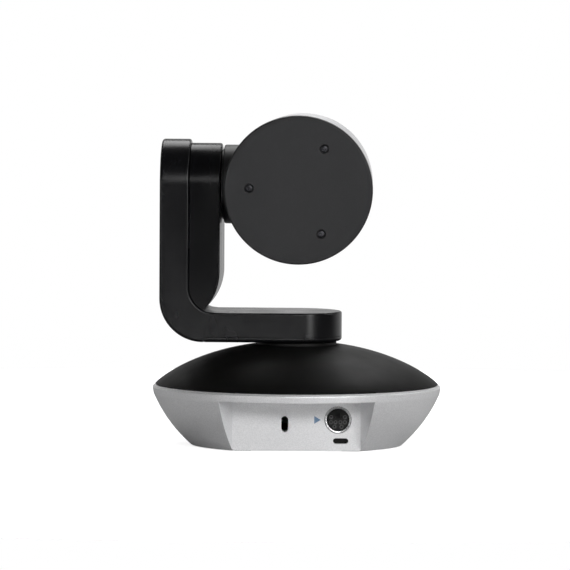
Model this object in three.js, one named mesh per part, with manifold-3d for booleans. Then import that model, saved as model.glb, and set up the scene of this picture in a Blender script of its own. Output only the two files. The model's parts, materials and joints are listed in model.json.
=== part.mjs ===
// Desk-top pan-tilt-zoom camera: a weighted round base, an L-shaped arm that pans on it, and a
// drum-shaped head that tilts at the top of the arm. Millimetres, +Z up. The origin is on the
// supporting surface under the pan axis; the ports face -Y and the lens looks along +Y.
import * as THREE from 'three';
import { mergeVertices } from 'three/addons/utils/BufferGeometryUtils.js';
import Module from 'manifold-3d';

const wasm = await Module();
wasm.setup();

// ---- Driving dimensions (mm, degrees) ----
const gap = 0.3; // clearance between neighbouring pieces
const wall = 2.2; // moulded shell thickness
const panAtRest = -3; // the arm is stored turned a little off straight ahead
const tiltAtRest = 1.5; // the lens is stored looking slightly up

const rimRadius = 65.5;
const rimHeight = 25.8;
const shellFootRadius = 48;
const shellFootHeight = 0.4;
const shellFootLand = 1.6; // width of the shell's lower edge
const bowlArcRadius = 64;
const lipRadius = 64.6;
const lipHeight = 27.6;
const domeEdgeRadius = 64.2;
const domeEdgeHeight = 27.9;
const domeRise = 19.7;
const domeFullness = 2.18;
const domeShoulder = 0.84;
const domeMouthRadius = 18.5;

const portWallBack = 39; // distance of the port wall behind the pan axis
const portHalfWidth = 28.9;
const portFlareHalfWidth = 39.3; // half width of the recess at the rim's own distance
const portCeiling = 23.7;
const powerSocketX = 18.7;
const powerSocketZ = 14.4;
const powerHoleRadius = 6.2;
const shieldOuter = 5.8;
const shieldInner = 5.2;
const insertRadius = 4.9;
const lockSlotX = -5.3;
const lockSlotZ = 12.4;
const lockSlotSize = [3.2, 7.2];
const cableSlotX = 19.9;
const cableSlotZ = 4.9;
const cableSlotSize = [7, 2.6];
const windowZ = 15.5; // infra-red window at the front
const windowHoleSize = [15, 5];
const windowSize = [14.4, 4.4];

const armHalfWidth = 20.4;
const armFloor = 47.7;
const armCeiling = 61.1;
const armSeam = 50;
const armOuterX = -61.5;
const armInnerX = -48.3;
const armOuterBend = 19.8;
const armInnerBend = 11.5;
const armWall = 2;
const hubRadius = 9;
const hubClear = 9.3; // holes the pan hub passes through

const housingInnerX = -34.2;
const housingHalfWidth = 18.6;
const housingLowerBend = 24.3;
const housingLowerBendZ = 79.5;
const housingWall = 2;

const tiltAxisHeight = 118.5;
const headCentreX = 2;
const discRadius = 33.6;
const headRear = -35;
const discThickness = 4.2;
const barrelRearRadius = 32.6;
const barrelFrontRadius = 31.5;
const barrelFront = 15;
const barrelWall = 2.2;
const bezelFront = 19;
const shaftClear = 6.3; // holes the hollow tilt shaft passes through
const coverScrewRadius = 22.2; // the disc's three screws, about the lens axis
const coverScrewTurn = 2;

const panGearTeeth = 48;
const panPinionTeeth = 12;
const panModule = 1;
const tiltGearTeeth = 36;
const tiltPinionTeeth = 12;
const tiltModule = 0.8;
const gearBacklash = 0.16;

const roundSides = 56;
const drumSides = 48;
const midSides = 28;
const smallSides = 16;
const far = 80; // past the outside of any piece, where a cutting tool ends

// ---- Materials ----
function plain(color, roughness, metalness) {
  return new THREE.MeshStandardMaterial({ color, roughness, metalness });
}
const silverPaint = plain('#c3c3c4', 0.35, 0.25);
const blackPlastic = plain('#1f1f21', 0.45, 0);
const softBlack = plain('#19191b', 0.6, 0);
const discBlack = plain('#343437', 0.55, 0);
const rubber = plain('#161616', 0.9, 0);
const steel = plain('#9a9a9c', 0.35, 1);
const darkSteel = plain('#3a3a3d', 0.4, 1);
const brass = plain('#b5924c', 0.3, 1);
const whitePlastic = plain('#d8d6cf', 0.5, 0);
const boardGreen = plain('#1d4a33', 0.5, 0);
const glass = plain('#20242c', 0.05, 0);
const greyPlastic = plain('#6f7073', 0.5, 0);

// ---- Joining and cutting ----
function toSolid(geometry) {
  const bare = geometry.clone();
  bare.deleteAttribute('normal');
  bare.deleteAttribute('uv');
  const merged = mergeVertices(bare, 1e-4);
  const corners = merged.index.array;
  const kept = [];
  for (let i = 0; i < corners.length; i += 3) {
    const [a, b, c] = [corners[i], corners[i + 1], corners[i + 2]];
    if (a !== b && b !== c && c !== a) kept.push(a, b, c);
  }
  const vertProperties = new Float32Array(merged.attributes.position.array);
  const triVerts = new Uint32Array(kept);
  return new wasm.Manifold(new wasm.Mesh({ numProp: 3, vertProperties, triVerts }));
}

function toGeometry(solid) {
  const mesh = solid.getMesh();
  const geometry = new THREE.BufferGeometry();
  geometry.setAttribute('position', new THREE.BufferAttribute(new Float32Array(mesh.vertProperties), 3));
  geometry.setIndex(new THREE.BufferAttribute(new Uint32Array(mesh.triVerts), 1));
  geometry.computeVertexNormals();
  return geometry;
}

function cut(body, ...tools) {
  return toGeometry(tools.reduce((solid, tool) => solid.subtract(toSolid(tool)), toSolid(body)));
}

function join(body, ...others) {
  return toGeometry(others.reduce((solid, other) => solid.add(toSolid(other)), toSolid(body)));
}

function common(body, ...others) {
  return toGeometry(others.reduce((solid, other) => solid.intersect(toSolid(other)), toSolid(body)));
}

// ---- Shape makers. Every turned or extruded shape stands along +Z. ----
function turned(profile, sides) {
  const outline = profile.map(([r, z]) => new THREE.Vector2(r, z));
  outline.push(outline[0].clone());
  const geometry = new THREE.LatheGeometry(outline, sides, Math.PI / 2);
  geometry.rotateX(Math.PI / 2);
  return toGeometry(outward(geometry));
}

// A turned profile may be listed either way round; a negative volume means inside out.
function outward(geometry) {
  const solid = toSolid(geometry);
  if (solid.volume() > 0) return solid;
  const flipped = geometry.clone();
  const index = flipped.index.array;
  for (let i = 0; i < index.length; i += 3) {
    [index[i], index[i + 1]] = [index[i + 1], index[i]];
  }
  return toSolid(flipped);
}

function rod(radius, from, to, sides = smallSides) {
  const geometry = new THREE.CylinderGeometry(radius, radius, to - from, sides);
  geometry.rotateX(Math.PI / 2);
  geometry.translate(0, 0, (from + to) / 2);
  return geometry;
}

function ring(outer, inner, from, to, sides = smallSides) {
  return turned([[inner, from], [outer, from], [outer, to], [inner, to]], sides);
}

function block(xs, ys, zs) {
  const geometry = new THREE.BoxGeometry(xs[1] - xs[0], ys[1] - ys[0], zs[1] - zs[0]);
  geometry.translate((xs[0] + xs[1]) / 2, (ys[0] + ys[1]) / 2, (zs[0] + zs[1]) / 2);
  return geometry;
}

function prism(points, from, to) {
  const shape = new THREE.Shape(points.map(([x, y]) => new THREE.Vector2(x, y)));
  const geometry = new THREE.ExtrudeGeometry(shape, { depth: to - from, bevelEnabled: false, steps: 1 });
  geometry.translate(0, 0, from);
  return geometry;
}

function arc(cx, cy, radius, fromDegrees, toDegrees, steps) {
  const points = [];
  for (let i = 0; i <= steps; i += 1) {
    const angle = THREE.MathUtils.degToRad(fromDegrees + ((toDegrees - fromDegrees) * i) / steps);
    points.push([cx + radius * Math.cos(angle), cy + radius * Math.sin(angle)]);
  }
  return points;
}

function slotOutline(width, height, steps = 6) {
  const half = Math.min(width, height) / 2;
  const reach = Math.max(width, height) / 2 - half;
  const [dx, dy] = width > height ? [reach, 0] : [0, reach];
  const turn = width > height ? -90 : 0;
  const firstEnd = arc(dx, dy, half, turn, turn + 180, steps);
  const secondEnd = arc(-dx, -dy, half, turn + 180, turn + 360, steps);
  return [...firstEnd, ...secondEnd];
}

// Stands a +Z shape along +X (its x goes to -Z) or along +Y (its y goes to -Z).
function alongX(geometry) {
  geometry.rotateY(Math.PI / 2);
  return geometry;
}

function alongY(geometry) {
  geometry.rotateX(-Math.PI / 2);
  return geometry;
}

function moved(geometry, x, y, z) {
  geometry.translate(x, y, z);
  return geometry;
}

// Extrudes an outline given in x and z through the thickness y.
function profileAcross(points, halfWidth) {
  const geometry = prism(points, -halfWidth, halfWidth);
  geometry.rotateX(Math.PI / 2);
  return geometry;
}

// Spur gear outline with one tooth centred on the +X direction.
function gearOutline(teeth, gearModule, flankSteps) {
  const pitchRadius = (teeth * gearModule) / 2;
  const pressure = THREE.MathUtils.degToRad(20);
  const baseRadius = pitchRadius * Math.cos(pressure);
  const rootRadius = pitchRadius - 1.2 * gearModule;
  const tipRadius = pitchRadius + 0.9 * gearModule;
  const involute = (radius) => {
    const angle = Math.acos(Math.min(1, baseRadius / radius));
    return Math.tan(angle) - angle;
  };
  const halfAtPitch = Math.PI / (2 * teeth) - gearBacklash / (2 * pitchRadius);
  const halfAt = (radius) => halfAtPitch + involute(pitchRadius) - involute(radius);
  const points = [];
  for (let tooth = 0; tooth < teeth; tooth += 1) {
    const centre = (2 * Math.PI * tooth) / teeth;
    const flank = [];
    for (let step = 0; step <= flankSteps; step += 1) {
      const radius = rootRadius + ((tipRadius - rootRadius) * step) / flankSteps;
      flank.push([radius, halfAt(radius)]);
    }
    const rising = flank.map(([radius, half]) => [radius, centre - half]);
    const falling = flank.map(([radius, half]) => [radius, centre + half]).reverse();
    points.push(...[...rising, ...falling].map(([r, a]) => [r * Math.cos(a), r * Math.sin(a)]));
  }
  return points;
}

function gear(teeth, gearModule, flankSteps, boreRadius, from, to) {
  const blank = prism(gearOutline(teeth, gearModule, flankSteps), from, to);
  return cut(blank, rod(boreRadius, from - 1, to + 1, midSides));
}

function piece(parent, name, geometry, material) {
  const mesh = new THREE.Mesh(geometry, material);
  mesh.name = name;
  parent.add(mesh);
  return mesh;
}

// Countersunk screw along +Z with its head at the bottom and a cross recess.
function screw(headRadius, headHeight, shankRadius, length) {
  const body = turned([
    [0, 0], [headRadius, 0], [headRadius, headHeight * 0.4], [shankRadius, headHeight],
    [shankRadius, length], [0, length],
  ], 12);
  const reach = [-headRadius * 0.6, headRadius * 0.6];
  const across = [-headRadius * 0.14, headRadius * 0.14];
  const depth = [-1, headHeight * 0.6];
  return cut(body, block(reach, across, depth), block(across, reach, depth));
}

// ---- Groups: the base stands still, the arm turns about Z, the head turns about X ----
const camera = new THREE.Group();
const base = new THREE.Group();
const arm = new THREE.Group();
arm.rotation.z = THREE.MathUtils.degToRad(panAtRest);
const head = new THREE.Group();
head.position.z = tiltAxisHeight;
head.rotation.x = THREE.MathUtils.degToRad(tiltAtRest);
camera.add(base, arm);
arm.add(head);

// ---- Base shells ----
// Circular arc from one point to another, bulging to the right of the direction of travel.
function bulge(from, to, radius, steps) {
  const start = new THREE.Vector2(...from);
  const end = new THREE.Vector2(...to);
  const middle = start.clone().add(end).multiplyScalar(0.5);
  const chord = end.clone().sub(start);
  const half = chord.length() / 2;
  const inward = new THREE.Vector2(-chord.y, chord.x).normalize();
  const centre = middle.addScaledVector(inward, Math.sqrt(radius * radius - half * half));
  const angleTo = (point) => THREE.MathUtils.radToDeg(Math.atan2(point.y - centre.y, point.x - centre.x));
  return arc(centre.x, centre.y, radius, angleTo(start), angleTo(end), steps);
}

function domeHeight(radius) {
  const fall = (radius / (domeEdgeRadius + 0.3)) ** domeFullness;
  return domeEdgeHeight - 0.4 + domeRise * (1 - Math.min(fall, 1)) ** domeShoulder;
}

const bowlStart = [shellFootRadius, shellFootHeight];
const bowlEnd = [rimRadius - 0.4, rimHeight - 2];
const bowlOuter = [
  ...bulge(bowlStart, bowlEnd, bowlArcRadius, 5),
  [rimRadius, rimHeight - 0.4], [rimRadius - 0.2, rimHeight + 0.6], [lipRadius, lipHeight],
];
const insideStart = [shellFootRadius - shellFootLand, shellFootHeight];
const insideEnd = [rimRadius - wall - 0.8, rimHeight - 2];
const bowlInner = bulge(insideStart, insideEnd, bowlArcRadius, 3);

function recessCutter(extra, floor, ceiling) {
  const side = portHalfWidth + extra;
  const flare = portFlareHalfWidth + extra * 1.4;
  const back = portWallBack - extra;
  const left = [[-side, -back], [-flare, -rimRadius], [-flare, -far]];
  const right = left.map(([x, y]) => [-x, y]).reverse();
  return prism([...left, ...right], floor, ceiling);
}

const bowlSolid = turned([[0, shellFootHeight], ...bowlOuter, [0, lipHeight]], roundSides);
const mouthRadius = lipRadius - 1.4;
const bowlCavity = turned([
  [0, -5], [insideStart[0], -5], ...bowlInner, [mouthRadius, lipHeight], [mouthRadius, 40], [0, 40],
], roundSides);
const recess = recessCutter(0, -10, portCeiling);
const recessOutside = recessCutter(wall, -20, portCeiling + wall);

const lockSlotHole = moved(alongY(prism(slotOutline(...lockSlotSize), -50, -30)), lockSlotX, 0, lockSlotZ);
const powerHole = moved(alongY(rod(powerHoleRadius, -50, -30, 32)), powerSocketX, 0, powerSocketZ);
const cableSlot = alongY(prism(slotOutline(...cableSlotSize), -50, -30));
const cableSlotHole = moved(cableSlot, cableSlotX, 0, cableSlotZ);
const windowHole = moved(alongY(prism(slotOutline(...windowHoleSize), 40, far)), 0, 0, windowZ);

const bowlShell = cut(bowlSolid, cut(bowlCavity, recessOutside), recess);
const lowerShell = cut(bowlShell, lockSlotHole, powerHole, cableSlotHole, windowHole);
piece(base, 'base_lower_shell', lowerShell, silverPaint);
const frontSkin = cut(bowlSolid, bowlCavity);
const windowPlug = moved(alongY(prism(slotOutline(...windowSize), 40, far)), 0, 0, windowZ);
piece(base, 'remote_window', common(frontSkin, windowPlug), glass);

// Points on the dome from one radius to another, closer together towards the steep edge.
function domeLine(offset, fromRadius, toRadius, steps) {
  const points = [];
  for (let i = 0; i <= steps; i += 1) {
    const share = 1 - (1 - i / steps) ** 1.4;
    const radius = fromRadius + (toRadius - fromRadius) * share;
    points.push([radius, domeHeight(radius) - offset]);
  }
  return points;
}
piece(
  base,
  'base_dome_cover',
  turned([
    ...domeLine(0, domeMouthRadius, domeEdgeRadius, 6),
    [domeEdgeRadius - wall, domeEdgeHeight],
    ...domeLine(wall, domeMouthRadius, domeEdgeRadius - 2.6, 3).reverse(),
  ], roundSides),
  softBlack,
);

// ---- Base floor, foot, weight and screws ----
const plateBottom = 1.9;
const plateTop = 3.9;
const postSpots = [[32, 19], [-32, 19], [32, -19], [-32, -19]];
const postRadius = 4;
const plateRadius = 46;
const floorDisc = rod(plateRadius, plateBottom, plateTop, drumSides);
const behindPorts = block([-far, far], [-far, -portWallBack + wall + gap], [-10, 30]);
const tripodHole = rod(6.3, -5, 20, 24);
const screwHoles = postSpots.map(([x, y]) => moved(rod(3, -5, plateTop - 0.6, smallSides), x, y, 0));
const shankHoles = postSpots.map(([x, y]) => moved(rod(1.9, -5, 20, smallSides), x, y, 0));
const bottomPlate = cut(floorDisc, behindPorts, tripodHole, ...screwHoles, ...shankHoles);
piece(base, 'base_bottom_plate', bottomPlate, blackPlastic);
const footBack = block([-far, far], [-far, -35.5], [-10, 30]);
piece(
  base,
  'rubber_foot_ring',
  cut(turned([[40.5, 1.6], [41, 0], [45, 0], [45.5, 1.6]], drumSides), footBack),
  rubber,
);
piece(base, 'tripod_insert', cut(rod(6, plateBottom, 10, 24), rod(3.25, -1, 9, 24)), brass);
const weightBottom = plateTop + gap;
const weightTop = 8.2;
const weightOutline = rod(41, weightBottom, weightTop, midSides);
const weightBack = block([-far, far], [-far, -9], [-10, 30]);
const postClearances = postSpots.map(([x, y]) => moved(rod(postRadius + 0.8, -5, 40, smallSides), x, y, 0));
piece(base, 'ballast_weight', cut(weightOutline, weightBack, tripodHole, ...postClearances), darkSteel);
postSpots.forEach(([x, y], index) => {
  piece(base, `base_screw_${index + 1}`, moved(screw(2.7, 1.1, 1.3, 11), x, y, plateBottom + 0.1), steel);
});

// ---- Base frame and pan drive ----
const frameBottom = 29;
const frameTop = 31;
const panCentreDistance = ((panGearTeeth + panPinionTeeth) * panModule) / 2;
const framePlate = rod(47, frameBottom, frameTop, midSides);
const post = () => rod(postRadius, plateTop + gap, frameBottom + 1, smallSides);
const posts = postSpots.map(([x, y]) => moved(post(), x, y, 0));
const postBores = postSpots.map(([x, y]) => moved(rod(1.7, 0, 15, 16), x, y, 0));
const bushHole = rod(12.9, 20, 40, midSides);
const panPinionHole = moved(rod(3.4, 20, 40, smallSides), 0, panCentreDistance, 0);
const frameBack = block([-far, far], [-far, -34], [0, 60]);
const baseFrame = cut(join(framePlate, ...posts), ...postBores, bushHole, panPinionHole, frameBack);
piece(base, 'base_frame', baseFrame, greyPlastic);
const bushBore = hubRadius + 0.35;
const bushSeatTop = frameTop + gap;
piece(
  base,
  'pan_bush',
  turned([
    [bushBore, 26], [12.6, 26], [12.6, bushSeatTop], [15, bushSeatTop], [15, 32.6], [bushBore, 32.6],
  ], midSides),
  whitePlastic,
);
const motorTop = frameBottom - gap;
const panMotorBody = join(
  rod(12.5, 14.5, motorTop - 1.2, midSides),
  block([-17, 17], [-4, 4], [motorTop - 1.2, motorTop]),
  rod(12.5, motorTop - 1.4, motorTop, midSides),
);
piece(base, 'pan_motor', moved(panMotorBody, 0, panCentreDistance, 0), steel);
const panMeshPhase = 180 / panPinionTeeth - panAtRest * (panGearTeeth / panPinionTeeth);
const panPinion = piece(
  base,
  'pan_pinion',
  join(gear(panPinionTeeth, panModule, 3, 1, 33.2, 38), rod(1.5, motorTop + gap, 38.4, 16)),
  brass,
);
panPinion.position.y = panCentreDistance;
panPinion.rotation.z = THREE.MathUtils.degToRad(panMeshPhase);

// ---- Boards and sockets ----
const portInner = -portWallBack + wall;
piece(base, 'interface_board', block([-27, 27], [portInner + gap, -11], [6.2, 7.8]), boardGreen);
const mainBoard = block([-31, 31], [-8, 36], [10.4, 12]);
const mainBoardCuts = postSpots.map(([x, y]) => moved(rod(postRadius + 1.2, 5, 20, smallSides), x, y, 0));
piece(base, 'main_board', cut(mainBoard, ...mainBoardCuts), boardGreen);

const socketFace = -portWallBack + 0.4;
const socketBlock = block([-7, 7], [portInner + gap, -27], [-6.3, 6.8]);
const insertFront = alongY(rod(insertRadius, socketFace, portInner + 1, 24));
const socketBody = join(socketBlock, insertFront);
const ringSlot = alongY(ring(shieldOuter + gap, insertRadius + 0.01, -60, portInner + 1.6, 32));
const pinSpots = [
  [-3.1, 1.2], [3.1, 1.2], [-3.1, -1.1], [3.1, -1.1],
  [-1.1, -1.1], [1.1, -1.1], [-1.6, -3.1], [1.6, -3.1],
];
const pinHoles = pinSpots.map(([x, z]) => moved(alongY(rod(0.5, -60, socketFace + 4, 8)), x, 0, z));
const keySlot = block([-1.1, 1.1], [-60, socketFace + 4], [1.1, 3.2]);
const socketCut = cut(socketBody, ringSlot, keySlot, ...pinHoles);
piece(base, 'power_socket_body', moved(socketCut, powerSocketX, 0, powerSocketZ), blackPlastic);
const shield = alongY(ring(shieldOuter, shieldInner, -portWallBack - 0.1, portInner + 1.3, 32));
piece(base, 'power_socket_shield', moved(shield, powerSocketX, 0, powerSocketZ), steel);
const lockPlate = block([-6, 6], [portInner + gap, portInner + gap + 1.5], [-3.5, 7]);
const lockPlateSlot = alongY(prism(slotOutline(3, 7), -50, -20));
piece(base, 'lock_slot_plate', moved(cut(lockPlate, lockPlateSlot), lockSlotX, 0, lockSlotZ), steel);
const clipBody = join(
  alongY(prism(slotOutline(6.3, 1.9), -portWallBack + 0.6, portInner + 1)),
  block([-4.4, 4.4], [portInner + gap, portInner + 1.8], [-0.7, 0.9]),
);
piece(base, 'cable_clip', moved(clipBody, cableSlotX, 0, cableSlotZ), softBlack);

// ---- Arm shells ----
const armTop = tiltAxisHeight + armHalfWidth;
const outerBendX = armOuterX + armOuterBend;
const outerBendZ = armFloor + armOuterBend;
const innerBendX = armInnerX + armInnerBend;
const innerBendZ = armCeiling + armInnerBend;

// Seen from above, the arm ends in a half circle about the pan axis.
function planOutline(inset) {
  const half = armHalfWidth - inset;
  return [[-far, -half], ...arc(0, 0, half, -90, 90, 24), [-far, half]];
}

// Seen from the side, the upright ends in a half circle about the tilt axis (x here is -Z).
function sideOutline(half, lowest) {
  const top = arc(-tiltAxisHeight, 0, half, 90, 270, 24);
  return [...top, [lowest, -half], [lowest, half]];
}

function armOutline(inset, openFace, floor) {
  return [
    [30, floor],
    [30, armCeiling - inset],
    ...arc(innerBendX, innerBendZ, armInnerBend + inset, 270, 180, 6),
    [armInnerX - inset, innerBendZ + 2],
    [openFace, innerBendZ + 2],
    [openFace, armTop + 5],
    [armOuterX + inset, armTop + 5],
    ...arc(outerBendX, outerBendZ, armOuterBend - inset, 180, 270, 12),
  ];
}

const bandOutline = [
  [30, armSeam],
  [30, armCeiling],
  ...arc(innerBendX, innerBendZ, armInnerBend, 270, 180, 8),
  [armInnerX, armTop + 5],
  [armOuterX, armTop + 5],
  ...arc(outerBendX, outerBendZ, armOuterBend, 180, 270, 14),
  [outerBendX + gap, armFloor],
  [outerBendX + gap, armSeam],
];
const bandSolid = common(
  profileAcross(bandOutline, 30),
  prism(planOutline(0), 0, 200),
  alongX(prism(sideOutline(armHalfWidth, 0), -far, 40)),
);
const bandCavity = common(
  profileAcross(armOutline(armWall, armInnerX + 5, armSeam - 5), armHalfWidth - armWall),
  prism(planOutline(armWall), 0, 200),
  alongX(prism(sideOutline(armHalfWidth - armWall, 0), -far, 40)),
);
piece(arm, 'arm_outer_band', cut(bandSolid, bandCavity), blackPlastic);

const coverTop = armSeam - gap;
const coverStart = block([outerBendX + 2 * gap, 30], [-30, 30], [armFloor - 5, armSeam]);
const coverPlate = common(prism(planOutline(0), armFloor, coverTop), coverStart);
const coverScrewSpots = [[-34, 0], [16, 0]];
const coverHoles = coverScrewSpots.map(([x, y]) => moved(rod(2.4, 40, 60, 16), x, y, 0));
const hubHole = rod(hubClear, 40, 60, midSides);
piece(arm, 'arm_bottom_cover', cut(coverPlate, hubHole, ...coverHoles), blackPlastic);
coverScrewSpots.forEach(([x, y], index) => {
  const fastener = screw(2.1, 1.3, 0.9, 6);
  piece(arm, `arm_cover_screw_${index + 1}`, moved(fastener, x, y, armFloor + 0.2), darkSteel);
});

// Where two circles of the arm's section meet below: the tip of the tilt housing.
function lowerMeeting(first, second) {
  const dx = second.x - first.x;
  const dy = second.y - first.y;
  const distance = Math.hypot(dx, dy);
  const along = (first.r ** 2 - second.r ** 2 + distance ** 2) / (2 * distance);
  const across = Math.sqrt(first.r ** 2 - along ** 2);
  const options = [1, -1].map((sign) => [
    first.x + (dx * along - sign * dy * across) / distance,
    first.y + (dy * along + sign * dx * across) / distance,
  ]);
  return options[0][1] < options[1][1] ? options[0] : options[1];
}

function housingOutline(inset) {
  const flankX = housingInnerX - housingLowerBend;
  const flank = { x: flankX, y: housingLowerBendZ, r: housingLowerBend - inset };
  const corner = { x: innerBendX, y: innerBendZ, r: armInnerBend - gap - inset };
  const tip = lowerMeeting(flank, corner);
  const angleFrom = ({ x, y }) => THREE.MathUtils.radToDeg(Math.atan2(tip[1] - y, tip[0] - x));
  return [
    [housingInnerX - inset, armTop + 5],
    ...arc(flank.x, flank.y, flank.r, 0, angleFrom(flank), 6),
    ...arc(corner.x, corner.y, corner.r, angleFrom(corner) + 360, 180, 5).slice(1),
    [armInnerX + gap + inset, armTop + 5],
  ];
}
const housingSolid = common(
  profileAcross(housingOutline(0), 30),
  alongX(prism(sideOutline(housingHalfWidth, 0), -far, 40)),
);
const housingInside = housingHalfWidth - housingWall;
const housingCavity = common(
  join(
    profileAcross(housingOutline(housingWall), 30),
    block([armInnerX - 5, housingInnerX - housingWall], [-30, 30], [innerBendZ + 6, armTop]),
  ),
  alongX(prism(sideOutline(housingInside, 0), -far, 40)),
);
const bushSeat = moved(alongX(rod(9.3, -40, -30, midSides)), 0, 0, tiltAxisHeight);
piece(arm, 'tilt_housing_cover', cut(housingSolid, housingCavity, bushSeat), blackPlastic);

// ---- Pan hub, hung in the base ----
const hubFlangeBottom = armSeam + gap;
const hubFlangeTop = hubFlangeBottom + 2;
piece(
  arm,
  'pan_hub',
  turned([
    [6, 22.5], [hubRadius, 22.5], [hubRadius, hubFlangeBottom], [14, hubFlangeBottom],
    [14, hubFlangeTop], [6, hubFlangeTop],
  ], midSides),
  greyPlastic,
);
piece(
  arm,
  'pan_collar',
  turned([[hubClear, 43], [18, 43], [18, 46.9], [17.6, 47.4], [hubClear, 47.4]], drumSides),
  softBlack,
);
piece(arm, 'pan_gear', gear(panGearTeeth, panModule, 1, hubClear, 33.5, 37.5), whitePlastic);
piece(arm, 'pan_clip', ring(12, hubClear, 24.4, 25.5, midSides), steel);

// ---- Tilt drive in the upright ----
const tiltCentreDistance = ((tiltGearTeeth + tiltPinionTeeth) * tiltModule) / 2;
const tiltDrive = new THREE.Group();
tiltDrive.position.z = tiltAxisHeight;
arm.add(tiltDrive);
const bracketPlate = block([-47, -45.8], [-10.5, 10.5], [-31, 12]);
const shaftSight = alongX(rod(4.4, -60, -30, smallSides));
const pinionSight = moved(alongX(rod(2.2, -60, -30, smallSides)), 0, 0, -tiltCentreDistance);
piece(tiltDrive, 'tilt_bracket', cut(bracketPlate, shaftSight, pinionSight), steel);
piece(
  tiltDrive,
  'tilt_bush',
  alongX(turned([
    [shaftClear, -34.4], [9, -34.4], [9, -36.5], [11, -36.5], [11, -38], [shaftClear, -38],
  ], midSides)),
  whitePlastic,
);
const tiltMotorBody = join(
  rod(10, -58.8, -47.8, midSides),
  block([-3.5, 3.5], [-14, 14], [-48.5, -47.3]),
  rod(10, -48.6, -47.3, midSides),
);
piece(tiltDrive, 'tilt_motor', moved(alongX(tiltMotorBody), 0, 0, -tiltCentreDistance), steel);
const tiltPinion = piece(
  tiltDrive,
  'tilt_pinion',
  alongX(join(gear(tiltPinionTeeth, tiltModule, 3, 0.8, -44.2, -39.6), rod(1.2, -47, -39.2, 16))),
  brass,
);
tiltPinion.position.z = -tiltCentreDistance;
const tiltMeshPhase = 180 / tiltPinionTeeth - tiltAtRest * (tiltGearTeeth / tiltPinionTeeth);
tiltPinion.rotation.x = THREE.MathUtils.degToRad(tiltMeshPhase);

// The arm's cable runs from the hub's mouth, up beside the motor, to the hollow tilt shaft.
const cableRoute = [
  [-16, 0, 55], [-26, 3, 55.2], [-38, 9, 55.8], [-49, 13.5, 61], [-54.5, 14.6, 74], [-55, 14.8, 90],
  [-55, 14.6, 104], [-54.6, 11, 114], [-53, 4, 118.2], [-49.5, 0, tiltAxisHeight],
].map(([x, y, z]) => new THREE.Vector3(x, y, z));
const cableSection = new THREE.Shape(arc(0, 0, 1.4, 0, 315, 7).map(([x, y]) => new THREE.Vector2(x, y)));
const cablePath = new THREE.CatmullRomCurve3(cableRoute);
piece(
  arm,
  'arm_cable',
  new THREE.ExtrudeGeometry(cableSection, { steps: 28, extrudePath: cablePath, bevelEnabled: false }),
  rubber,
);

// ---- Head: pivot and shells ----
const bossRadius = 17.9;
const bossStart = -33.2;
const barrelZone = moved(alongY(rod(barrelRearRadius + gap, -60, 60, drumSides)), headCentreX, 0, 0);
const bossBlank = alongX(turned([
  [0, bossStart - 0.7], [16, bossStart - 0.7], [16, bossStart], [bossRadius - 0.8, bossStart],
  [bossRadius, bossStart + 0.8], [bossRadius, -10], [0, -10],
], drumSides));
const shaftBore = alongX(rod(shaftClear, -60, -20, midSides));
piece(head, 'pivot_boss', cut(bossBlank, barrelZone, shaftBore), softBlack);
piece(head, 'tilt_shaft', alongX(ring(6, 4, -45.5, -25, midSides)), steel);
piece(head, 'tilt_gear', alongX(gear(tiltGearTeeth, tiltModule, 1, shaftClear, -44, -40)), whitePlastic);
piece(head, 'tilt_clip', alongX(ring(8.6, shaftClear, -39.4, -38.5, midSides)), steel);

// The optics and the shells share the head's centre line.
const drum = new THREE.Group();
drum.position.x = headCentreX;
head.add(drum);
const discFront = headRear + discThickness;
const barrelRear = discFront + gap;
const barrelInside = barrelFrontRadius - barrelWall;
const barrelTube = alongY(turned([
  [barrelRearRadius - barrelWall, barrelRear], [barrelRearRadius, barrelRear],
  [barrelRearRadius, barrelRear + 8], [barrelFrontRadius + 0.5, 4], [barrelFrontRadius, barrelFront],
  [barrelInside, barrelFront], [barrelInside, 4],
], drumSides));
const barrelShaftHole = moved(alongX(rod(shaftClear, -45, -15, midSides)), -headCentreX, 0, 0);
piece(drum, 'head_barrel', cut(barrelTube, barrelShaftHole), silverPaint);

const discScrewAngles = [180, 60, -60].map((angle) => angle - coverScrewTurn);
const discBlank = alongY(turned([
  [0, headRear], [discRadius - 0.9, headRear], [discRadius, headRear + 0.9], [discRadius, discFront],
  [29.6, discFront], [29.6, discFront + 3], [28, discFront + 3], [28, discFront - 1.6], [0, discFront - 1.6],
], drumSides));
function aroundDisc(geometry, angle) {
  const turn = THREE.MathUtils.degToRad(angle);
  return moved(geometry, coverScrewRadius * Math.cos(turn), 0, coverScrewRadius * Math.sin(turn));
}
const discHole = () => alongY(rod(2, -60, headRear + 1.6, smallSides));
const discHoles = discScrewAngles.map((angle) => aroundDisc(discHole(), angle));
const discShanks = discScrewAngles.map((angle) => aroundDisc(alongY(rod(1.2, -60, 0, 16)), angle));
piece(drum, 'head_rear_cover', cut(discBlank, ...discHoles, ...discShanks), discBlack);
discScrewAngles.forEach((angle, index) => {
  const fastener = moved(alongY(screw(1.6, 0.9, 0.8, 7.2)), 0, headRear + 0.6, 0);
  piece(drum, `rear_cover_screw_${index + 1}`, aroundDisc(fastener, angle), darkSteel);
});

const bezelBack = barrelFront + gap;
const bezelStep = bezelFront - 1.6;
const glassBack = bezelFront - 1.3;
const glassFront = bezelFront - 0.3;
piece(
  drum,
  'front_bezel',
  alongY(turned([
    [13, 12.5], [28.8, 12.5], [28.8, bezelBack], [31.2, bezelBack], [31.2, bezelFront - 1],
    [30.2, bezelFront], [26, bezelFront], [25.4, bezelStep], [13, bezelStep],
  ], drumSides)),
  blackPlastic,
);
piece(
  drum,
  'front_glass',
  alongY(turned([[0, glassBack], [25, glassBack], [25, glassFront], [0, glassFront]], midSides)),
  glass,
);

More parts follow.
